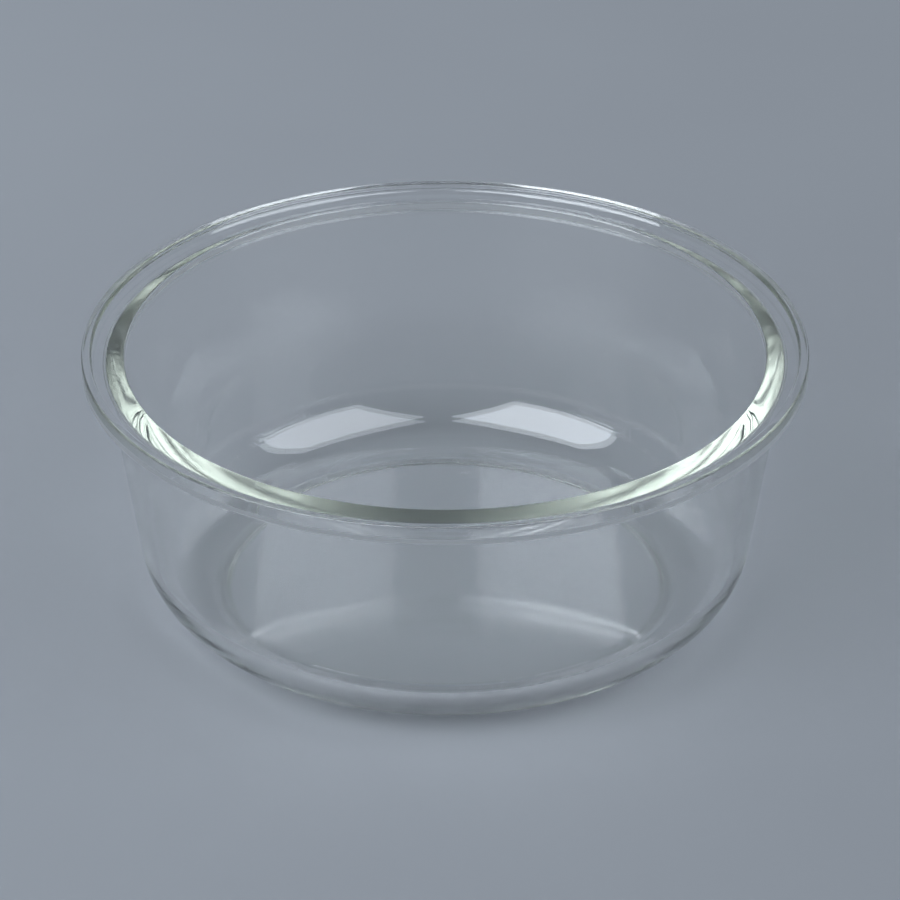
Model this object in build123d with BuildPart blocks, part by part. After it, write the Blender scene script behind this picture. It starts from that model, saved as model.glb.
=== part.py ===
from build123d import *
from math import radians, tan
import os

# Round pressed-glass storage dish, millimetres, +Z up, resting on z = 0.
# The dish is one piece of glass pressed in a mould, so the whole part is a single
# revolved section: a flat bottom with a shallow recess underneath, a wide round
# corner, a drafted wall and a flange with a low bead round its outer edge.

os.makedirs("parts", exist_ok=True)

# Overall size
HEIGHT = 68.5
RIM_RADIUS = 90.0

# Rim: a flange with a bead standing on its outer edge and a flat ledge inside the bead
FLANGE_THICKNESS = 5.0
FLANGE_EDGE_RADIUS = 0.9
BEAD_TOP_WIDTH = 2.2
BEAD_FOOT_WIDTH = 2.5
BEAD_RADIUS = 0.6
BEAD_FILLET = 0.4
LEDGE_DROP = 1.0
MOUTH_RADIUS = 79.5
LIP_RADIUS = 0.7
NECK_RADIUS = 84.0
NECK_FILLET = 1.2

# Wall: the outside leans out more than the inside, so the wall thickens upwards
OUTER_DRAFT = radians(8.4)
INNER_DRAFT = radians(7.5)
OUTER_CORNER_RADIUS = 19.0
INNER_CORNER_RADIUS = 15.5

# Bottom: the dish stands on a narrow ring round a shallow recess
BOTTOM_THICKNESS = 4.6
RECESS_HEIGHT = 0.4
RECESS_RADIUS = 54.2
RECESS_EDGE_WIDTH = 0.9


def section_corners():
    """Sharp corners of the section, as (radius, height), before rounding."""
    flange_underside = HEIGHT - FLANGE_THICKNESS
    ledge = HEIGHT - LEDGE_DROP
    outer_heel = NECK_RADIUS - flange_underside * tan(OUTER_DRAFT)
    inner_heel = MOUTH_RADIUS - (ledge - BOTTOM_THICKNESS) * tan(INNER_DRAFT)
    return {
        "recess_centre": (0, RECESS_HEIGHT),
        "recess_edge": (RECESS_RADIUS, RECESS_HEIGHT),
        "foot_inside": (RECESS_RADIUS + RECESS_EDGE_WIDTH, 0),
        "outer_heel": (outer_heel, 0),
        "neck": (NECK_RADIUS, flange_underside),
        "flange_edge": (RIM_RADIUS, flange_underside),
        "bead_outside": (RIM_RADIUS, HEIGHT),
        "bead_inside": (RIM_RADIUS - BEAD_TOP_WIDTH, HEIGHT),
        "bead_foot": (RIM_RADIUS - BEAD_FOOT_WIDTH, ledge),
        "lip": (MOUTH_RADIUS, ledge),
        "inner_heel": (inner_heel, BOTTOM_THICKNESS),
        "floor_centre": (0, BOTTOM_THICKNESS),
    }


ROUNDED_CORNERS = {
    "outer_heel": OUTER_CORNER_RADIUS,
    "neck": NECK_FILLET,
    "flange_edge": FLANGE_EDGE_RADIUS,
    "bead_outside": BEAD_RADIUS,
    "bead_inside": BEAD_RADIUS,
    "bead_foot": BEAD_FILLET,
    "lip": LIP_RADIUS,
    "inner_heel": INNER_CORNER_RADIUS,
}

# Dish: the rounded section turned once round the vertical axis
with BuildPart() as glass_dish:
    with BuildSketch(Plane.XZ) as section:
        corners = section_corners()
        with BuildLine():
            Polyline(*corners.values(), close=True)
        make_face()
        for corner_name, radius in ROUNDED_CORNERS.items():
            across, up = corners[corner_name]
            corner = section.vertices().sort_by_distance((across, up))[0]
            fillet(corner, radius=radius)
    revolve(axis=Axis.Z)

glass_dish.part.label = "glass_dish"
export_step(glass_dish.part, "parts/glass_dish.step")
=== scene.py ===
from math import cos, pi, radians, sin, tan

import bpy
from mathutils import Matrix, Vector, noise


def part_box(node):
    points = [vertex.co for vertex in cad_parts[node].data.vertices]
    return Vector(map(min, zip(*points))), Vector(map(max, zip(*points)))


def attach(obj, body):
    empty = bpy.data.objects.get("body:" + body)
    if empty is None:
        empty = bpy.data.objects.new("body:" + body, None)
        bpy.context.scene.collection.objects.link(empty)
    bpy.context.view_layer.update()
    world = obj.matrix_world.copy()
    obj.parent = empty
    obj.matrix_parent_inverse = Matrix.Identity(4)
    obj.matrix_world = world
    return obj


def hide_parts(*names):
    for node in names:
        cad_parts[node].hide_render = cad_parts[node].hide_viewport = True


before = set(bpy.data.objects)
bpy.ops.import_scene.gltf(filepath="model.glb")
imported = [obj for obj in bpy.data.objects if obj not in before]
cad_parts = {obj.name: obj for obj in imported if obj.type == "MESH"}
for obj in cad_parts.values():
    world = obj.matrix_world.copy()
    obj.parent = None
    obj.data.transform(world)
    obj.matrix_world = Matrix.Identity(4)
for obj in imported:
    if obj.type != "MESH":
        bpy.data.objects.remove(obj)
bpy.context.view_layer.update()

# A clear pressed-glass storage dish on a grey-blue card, in metres, +Z up.

MM = 0.001

# ---------------------------------------------------------------- dish: sizes
# The same driving dimensions as the CAD part, with its outer size taken from the frame.
DISH_LOW, DISH_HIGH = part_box("glass_dish")
HEIGHT = DISH_HIGH[2] - DISH_LOW[2]
RIM_RADIUS = (DISH_HIGH[0] - DISH_LOW[0]) / 2
FLANGE_THICKNESS = 5.0 * MM
FLANGE_EDGE_RADIUS = 0.9 * MM
BEAD_TOP_WIDTH = 2.2 * MM
BEAD_FOOT_WIDTH = 2.5 * MM
BEAD_RADIUS = 0.6 * MM
BEAD_FILLET = 0.4 * MM
LEDGE_DROP = 1.0 * MM
MOUTH_RADIUS = 79.5 * MM
LIP_RADIUS = 0.7 * MM
NECK_RADIUS = 84.0 * MM
NECK_FILLET = 1.2 * MM
OUTER_DRAFT = radians(8.4)
INNER_DRAFT = radians(7.5)
OUTER_CORNER_RADIUS = 19.0 * MM
INNER_CORNER_RADIUS = 15.5 * MM
BOTTOM_THICKNESS = 4.6 * MM
RECESS_HEIGHT = 0.4 * MM
RECESS_RADIUS = 54.2 * MM
RECESS_EDGE_WIDTH = 0.9 * MM
RECESS_ROUNDING = 0.3 * MM

# Mesh fineness
SEGMENTS = 450
ARC_STEP = radians(4.0)
FEWEST_ARC_STEPS = 4
SHORTEST_RUN = 0.1 * MM
LONGEST_RUN = 2.5 * MM

# Mould ripples: nearly level waves that run round both faces of the wall. The drift is
# how much they change on the way round.
RIPPLE_LENGTH = 7.0 * MM
RIPPLE_DRIFT = 0.9
RIPPLE_OUTSIDE = 0.02 * MM
RIPPLE_INSIDE = 0.005 * MM
RIPPLE_LOWEST = 8.0 * MM
RIPPLE_HIGHEST = HEIGHT - FLANGE_THICKNESS - 3.0 * MM
RIPPLE_FADE = 8.0 * MM


# ------------------------------------------------------------- dish: outline
def section_corners():
    """Sharp corners of the section as (radius, height, rounding), underside to floor."""
    flange_underside = HEIGHT - FLANGE_THICKNESS
    ledge = HEIGHT - LEDGE_DROP
    outer_heel = NECK_RADIUS - flange_underside * tan(OUTER_DRAFT)
    inner_heel = MOUTH_RADIUS - (ledge - BOTTOM_THICKNESS) * tan(INNER_DRAFT)
    return [
        (0.0, RECESS_HEIGHT, 0.0),
        (RECESS_RADIUS, RECESS_HEIGHT, RECESS_ROUNDING),
        (RECESS_RADIUS + RECESS_EDGE_WIDTH, 0.0, RECESS_ROUNDING),
        (outer_heel, 0.0, OUTER_CORNER_RADIUS),
        (NECK_RADIUS, flange_underside, NECK_FILLET),
        (RIM_RADIUS, flange_underside, FLANGE_EDGE_RADIUS),
        (RIM_RADIUS, HEIGHT, BEAD_RADIUS),
        (RIM_RADIUS - BEAD_TOP_WIDTH, HEIGHT, BEAD_RADIUS),
        (RIM_RADIUS - BEAD_FOOT_WIDTH, ledge, BEAD_FILLET),
        (MOUTH_RADIUS, ledge, LIP_RADIUS),
        (inner_heel, BOTTOM_THICKNESS, INNER_CORNER_RADIUS),
        (0.0, BOTTOM_THICKNESS, 0.0),
    ]


def rounded_corner(before, corner, after):
    """Points of the arc that rounds one corner, from its first tangent point to its last."""
    here = Vector(corner[:2])
    radius = corner[2]
    back = (Vector(before[:2]) - here).normalized()
    ahead = (Vector(after[:2]) - here).normalized()
    half_angle = back.angle(ahead) / 2
    reach = radius / tan(half_angle)
    centre = here + (back + ahead).normalized() * radius / sin(half_angle)
    start = here + back * reach - centre
    turn = start.angle_signed(here + ahead * reach - centre)
    smoothest = round(abs(turn) / ARC_STEP)
    finest = round(abs(turn) * radius / SHORTEST_RUN)
    steps = max(FEWEST_ARC_STEPS, min(smoothest, finest))
    arc = []
    for step in range(steps + 1):
        arc.append(centre + Matrix.Rotation(-turn * step / steps, 2) @ start)
    return arc


def dish_outline():
    """The whole section, with long straight runs divided evenly."""
    corners = section_corners()
    outline = [Vector(corners[0][:2])]
    arcs = []
    for before, corner, after in zip(corners, corners[1:], corners[2:]):
        arcs.append(rounded_corner(before, corner, after))
    arcs.append([Vector(corners[-1][:2])])
    for arc in arcs:
        start = outline[-1].copy()
        run = arc[0] - start
        pieces = max(1, round(run.length / LONGEST_RUN))
        for piece in range(1, pieces):
            outline.append(start + run * piece / pieces)
        outline.extend(arc)
    return outline


# ---------------------------------------------------------------- dish: mesh
def ripple(height, angle, outside):
    """How far a point of the wall moves outwards, fading away at the wall's ends."""
    into_wall = min(height - RIPPLE_LOWEST, RIPPLE_HIGHEST - height)
    if into_wall <= 0:
        return 0.0
    depth = RIPPLE_OUTSIDE if outside else RIPPLE_INSIDE
    fade = min(1.0, into_wall / RIPPLE_FADE)
    where = Vector((RIPPLE_DRIFT * cos(angle), RIPPLE_DRIFT * sin(angle), height / RIPPLE_LENGTH))
    return depth * fade * noise.noise(where)


def ring_points(point, outside):
    """One ring of the dish: an outline point turned round the axis, with its ripple."""
    radius, height = point
    ring = []
    for segment in range(SEGMENTS):
        angle = 2 * pi * segment / SEGMENTS
        out = radius + ripple(height, angle, outside)
        ring.append((out * cos(angle), out * sin(angle), height))
    return ring


def make_dish():
    """The dish as one closed, smoothly shaded turned mesh, with a fan at each pole."""
    outline = dish_outline()
    top = outline.index(max(outline, key=lambda point: point[1]))
    rings = [ring_points(point, place < top)
             for place, point in enumerate(outline[1:-1], start=1)]
    bottom_pole = 0
    floor_pole = 1
    vertices = [(0.0, 0.0, outline[0][1]), (0.0, 0.0, outline[-1][1])]
    faces = []
    for ring in rings:
        first = len(vertices)
        vertices += ring
        for segment in range(SEGMENTS):
            here = first + segment
            beside = first + (segment + 1) % SEGMENTS
            if ring is rings[0]:
                faces.append((bottom_pole, beside, here))
            else:
                faces.append((here - SEGMENTS, beside - SEGMENTS, beside, here))
            if ring is rings[-1]:
                faces.append((floor_pole, here, beside))
    mesh = bpy.data.meshes.new("pressed_glass_dish")
    mesh.from_pydata(vertices, [], faces)
    mesh.shade_smooth()
    dish = bpy.data.objects.new("pressed_glass_dish", mesh)
    bpy.context.scene.collection.objects.link(dish)
    return dish


# ----------------------------------------------------------------- materials
# Glass: light is taken up a little along long paths through it, green the least
GLASS_IOR = 1.5
GLASS_COLOUR = (0.26, 0.34, 0.16, 1.0)
GLASS_DENSITY = 3.5

# Polish: the wall is slightly less polished than the bottom and the rim. Its roughness
# comes in between the foot and the start of the wall, and goes between its end and neck.
WALL_ROUGHNESS = 0.065
BOTTOM_ROUGHNESS = 0.01
RIM_ROUGHNESS = 0.0
WALL_FOOT = 16 * MM
WALL_START = 28 * MM
WALL_END = HEIGHT - 9 * MM
WALL_NECK = HEIGHT - 5 * MM

# Smudges from handling: noise between these two values adds up to the roughness
SMUDGE_ROUGHNESS = 0.005
SMUDGE_SCALE = 45.0
SMUDGE_DETAIL = 2.0
SMUDGE_FAINTEST = 0.35
SMUDGE_STRONGEST = 0.65

# Card: two close tones in a mottle, with painted light on top: its tone is scaled lighter towards
# the back left and darker towards the front right, standing in for the lamps' fall-off. It fades
# out at its edge.
CARD_ROUGHNESS = 0.5
CARD_TONES = {0.3: (0.180, 0.187, 0.201, 1.0), 0.7: (0.186, 0.194, 0.208, 1.0)}
CARD_MOTTLE_SCALE = 9.0
CARD_MOTTLE_DETAIL = 4.0
CARD_PAINTED_LIGHT_DIRECTION = (-0.55, 0.4, 0.0)
CARD_PAINTED_LIGHT_REACH = 0.25
CARD_PAINTED_SHADE_FACTOR = 0.86
CARD_PAINTED_LIGHT_FACTOR = 1.37
CARD_EDGE_START = 0.9
CARD_EDGE_END = 2.4


def new_material(name):
    """An empty node material."""
    material = bpy.data.materials.new(name)
    material.use_nodes = True
    material.node_tree.nodes.clear()
    return material, material.node_tree.nodes, material.node_tree.links


def map_range(nodes, low, high, at_low, at_high):
    """A clamped linear step between two values."""
    step = nodes.new("ShaderNodeMapRange")
    step.inputs["From Min"].default_value = low
    step.inputs["From Max"].default_value = high
    step.inputs["To Min"].default_value = at_low
    step.inputs["To Max"].default_value = at_high
    return step


def glass_roughness(nodes, links):
    """Roughness over the height of the dish, with faint smudges from handling."""
    place = nodes.new("ShaderNodeTexCoord")
    split = nodes.new("ShaderNodeSeparateXYZ")
    foot = map_range(nodes, WALL_FOOT, WALL_START, BOTTOM_ROUGHNESS, WALL_ROUGHNESS)
    neck = map_range(nodes, WALL_END, WALL_NECK, WALL_ROUGHNESS, RIM_ROUGHNESS)
    polish = nodes.new("ShaderNodeMath")
    polish.operation = "MINIMUM"
    smudge = nodes.new("ShaderNodeTexNoise")
    smudge.inputs["Scale"].default_value = SMUDGE_SCALE
    smudge.inputs["Detail"].default_value = SMUDGE_DETAIL
    handling = map_range(nodes, SMUDGE_FAINTEST, SMUDGE_STRONGEST, 0.0, SMUDGE_ROUGHNESS)
    roughness = nodes.new("ShaderNodeMath")
    roughness.operation = "ADD"
    links.new(place.outputs["Object"], split.inputs["Vector"])
    links.new(split.outputs["Z"], foot.inputs["Value"])
    links.new(split.outputs["Z"], neck.inputs["Value"])
    links.new(foot.outputs["Result"], polish.inputs[0])
    links.new(neck.outputs["Result"], polish.inputs[1])
    links.new(place.outputs["Object"], smudge.inputs["Vector"])
    links.new(smudge.outputs["Fac"], handling.inputs["Value"])
    links.new(polish.outputs["Value"], roughness.inputs[0])
    links.new(handling.outputs["Result"], roughness.inputs[1])
    return roughness.outputs["Value"]


def clear_glass():
    """Clear pressed glass with a pale green depth."""
    material, nodes, links = new_material("clear_pressed_glass")
    output = nodes.new("ShaderNodeOutputMaterial")
    glass = nodes.new("ShaderNodeBsdfPrincipled")
    glass.inputs["Base Color"].default_value = (1.0, 1.0, 1.0, 1.0)
    glass.inputs["Transmission Weight"].default_value = 1.0
    glass.inputs["IOR"].default_value = GLASS_IOR
    depth = nodes.new("ShaderNodeVolumeAbsorption")
    depth.inputs["Color"].default_value = GLASS_COLOUR
    depth.inputs["Density"].default_value = GLASS_DENSITY
    links.new(glass_roughness(nodes, links), glass.inputs["Roughness"])
    links.new(glass.outputs["BSDF"], output.inputs["Surface"])
    links.new(depth.outputs["Volume"], output.inputs["Volume"])
    return material


def card_colour_and_painted_light(nodes, links, place):
    """Faint mottle of the card, with painted light that makes it lighter towards its back left
    and darker towards its front right.
    """
    mottle = nodes.new("ShaderNodeTexNoise")
    mottle.inputs["Scale"].default_value = CARD_MOTTLE_SCALE
    mottle.inputs["Detail"].default_value = CARD_MOTTLE_DETAIL
    tone = nodes.new("ShaderNodeValToRGB")
    for element, (position, colour) in zip(tone.color_ramp.elements, CARD_TONES.items()):
        element.position = position
        element.color = colour
    # Painted light and shade: the card's tone is scaled by how far each point lies along this
    # direction.
    along = nodes.new("ShaderNodeVectorMath")
    along.operation = "DOT_PRODUCT"
    along.inputs[1].default_value = CARD_PAINTED_LIGHT_DIRECTION
    painted_lightness = map_range(nodes, -CARD_PAINTED_LIGHT_REACH, CARD_PAINTED_LIGHT_REACH,
                          CARD_PAINTED_SHADE_FACTOR, CARD_PAINTED_LIGHT_FACTOR)
    lit = nodes.new("ShaderNodeVectorMath")
    lit.operation = "SCALE"
    links.new(place.outputs["Object"], mottle.inputs["Vector"])
    links.new(mottle.outputs["Fac"], tone.inputs["Fac"])
    links.new(place.outputs["Object"], along.inputs[0])
    links.new(along.outputs["Value"], painted_lightness.inputs["Value"])
    links.new(tone.outputs["Color"], lit.inputs[0])
    links.new(painted_lightness.outputs["Result"], lit.inputs["Scale"])
    return lit.outputs["Vector"]


def studio_card():
    """Satin grey-blue card that fades into the air round it, so that no horizon shows."""
    material, nodes, links = new_material("studio_card")
    output = nodes.new("ShaderNodeOutputMaterial")
    card = nodes.new("ShaderNodeBsdfPrincipled")
    card.inputs["Roughness"].default_value = CARD_ROUGHNESS
    place = nodes.new("ShaderNodeTexCoord")
    from_dish = nodes.new("ShaderNodeVectorMath")
    from_dish.operation = "LENGTH"
    fade = map_range(nodes, CARD_EDGE_START, CARD_EDGE_END, 0.0, 1.0)
    fade.interpolation_type = "SMOOTHSTEP"
    air = nodes.new("ShaderNodeBsdfTransparent")
    edge = nodes.new("ShaderNodeMixShader")
    links.new(card_colour_and_painted_light(nodes, links, place), card.inputs["Base Color"])
    links.new(place.outputs["Object"], from_dish.inputs[0])
    links.new(from_dish.outputs["Value"], fade.inputs["Value"])
    links.new(fade.outputs["Result"], edge.inputs["Fac"])
    links.new(card.outputs["BSDF"], edge.inputs[1])
    links.new(air.outputs["BSDF"], edge.inputs[2])
    links.new(edge.outputs["Shader"], output.inputs["Surface"])
    return material


# --------------------------------------------------------------------- stage
FLOOR_RADIUS = CARD_EDGE_END
FLOOR_SEGMENTS = 96


def make_floor():
    """A round floor, level with the bottom of the dish."""
    rim = []
    for segment in range(FLOOR_SEGMENTS):
        angle = 2 * pi * segment / FLOOR_SEGMENTS
        rim.append((FLOOR_RADIUS * cos(angle), FLOOR_RADIUS * sin(angle), 0.0))
    mesh = bpy.data.meshes.new("studio_floor")
    mesh.from_pydata(rim, [], [range(FLOOR_SEGMENTS)])
    floor = bpy.data.objects.new("studio_floor", mesh)
    bpy.context.scene.collection.objects.link(floor)
    floor.data.materials.append(studio_card())


# -------------------------------------------------------------------- lights
# Two alike soft lamps in front of the dish, each with its own azimuth, clockwise from
# straight behind the dish, and the radiance of its face.
SOFTBOXES = {
    "softbox_right": (radians(122), 3.8),
    "softbox_left": (radians(-130), 5.5),
}
SOFTBOX_ELEVATION = radians(45)
SOFTBOX_DISTANCE = 2.5
SOFTBOX_WIDTH = 2.05
SOFTBOX_HEIGHT = 2.3
LIGHT_COLOUR = (0.86, 0.93, 1.0)

# Air: its light fades from behind the dish to behind the camera
AIR_COLOUR = (0.78, 0.88, 1.0)
AIR_BEHIND = 0.34
AIR_IN_FRONT = 0.08
AIR_FADE = 0.6


def aim(thing, target):
    """Turns a light or camera so that it looks at the target."""
    thing.rotation_euler = (target - thing.location).to_track_quat("-Z", "Y").to_euler()


def softbox(name, azimuth, radiance):
    """A soft rectangular lamp that looks at the middle of the dish."""
    lamp = bpy.data.lights.new(name, "AREA")
    lamp.shape = "RECTANGLE"
    lamp.size = SOFTBOX_WIDTH
    lamp.size_y = SOFTBOX_HEIGHT
    lamp.color = LIGHT_COLOUR
    lamp.energy = radiance * pi * SOFTBOX_WIDTH * SOFTBOX_HEIGHT
    box = bpy.data.objects.new(name, lamp)
    away = SOFTBOX_DISTANCE * cos(SOFTBOX_ELEVATION)
    up = SOFTBOX_DISTANCE * sin(SOFTBOX_ELEVATION)
    box.location = (away * sin(azimuth), away * cos(azimuth), up)
    aim(box, Vector((0, 0, HEIGHT / 2)))
    box.visible_camera = False
    bpy.context.scene.collection.objects.link(box)


def studio_air():
    """The room round the dish: dim behind the camera, brighter behind the dish."""
    world = bpy.data.worlds.new("studio_air")
    world.use_nodes = True
    nodes = world.node_tree.nodes
    links = world.node_tree.links
    air = nodes["Background"]
    air.inputs["Color"].default_value = (*AIR_COLOUR, 1.0)
    direction = nodes.new("ShaderNodeTexCoord")
    split = nodes.new("ShaderNodeSeparateXYZ")
    fade = map_range(nodes, -AIR_FADE, AIR_FADE, AIR_IN_FRONT, AIR_BEHIND)
    fade.interpolation_type = "SMOOTHSTEP"
    links.new(direction.outputs["Generated"], split.inputs["Vector"])
    links.new(split.outputs["Y"], fade.inputs["Value"])
    links.new(fade.outputs["Result"], air.inputs["Strength"])
    bpy.context.scene.world = world


# -------------------------------------------------------------------- camera
CAMERA_ELEVATION = radians(29.67)
CAMERA_DISTANCE = 1.2532
CAMERA_TARGET = Vector((1.2 * MM, 0.0, 38.04 * MM))
LENS = 200.0
SENSOR_WIDTH = 36.0


def make_camera():
    """A long lens in front of the dish, looking down on it."""
    camera = bpy.data.cameras.new("camera")
    camera.lens = LENS
    camera.sensor_width = SENSOR_WIDTH
    eye = bpy.data.objects.new("camera", camera)
    eye.location = CAMERA_TARGET + CAMERA_DISTANCE * Vector(
        (0.0, -cos(CAMERA_ELEVATION), sin(CAMERA_ELEVATION)))
    aim(eye, CAMERA_TARGET)
    bpy.context.scene.collection.objects.link(eye)
    bpy.context.scene.camera = eye


# --------------------------------------------------------------------- scene
dish = make_dish()
dish.data.materials.append(clear_glass())
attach(dish, "root")
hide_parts("glass_dish")

make_floor()
for name, (azimuth, radiance) in SOFTBOXES.items():
    softbox(name, azimuth, radiance)
studio_air()
make_camera()

# A ray in the rim is reflected inside the glass many times before it gets out. Blurring
# glossy light would darken the floor under the dish, which is lit through the glass.
GLASS_BOUNCES = 256
FLOOR_BOUNCES = 4
scene = bpy.context.scene
scene.view_settings.view_transform = "Standard"
scene.cycles.max_bounces = GLASS_BOUNCES
scene.cycles.transmission_bounces = GLASS_BOUNCES
scene.cycles.glossy_bounces = GLASS_BOUNCES
scene.cycles.diffuse_bounces = FLOOR_BOUNCES
scene.cycles.blur_glossy = 0.0
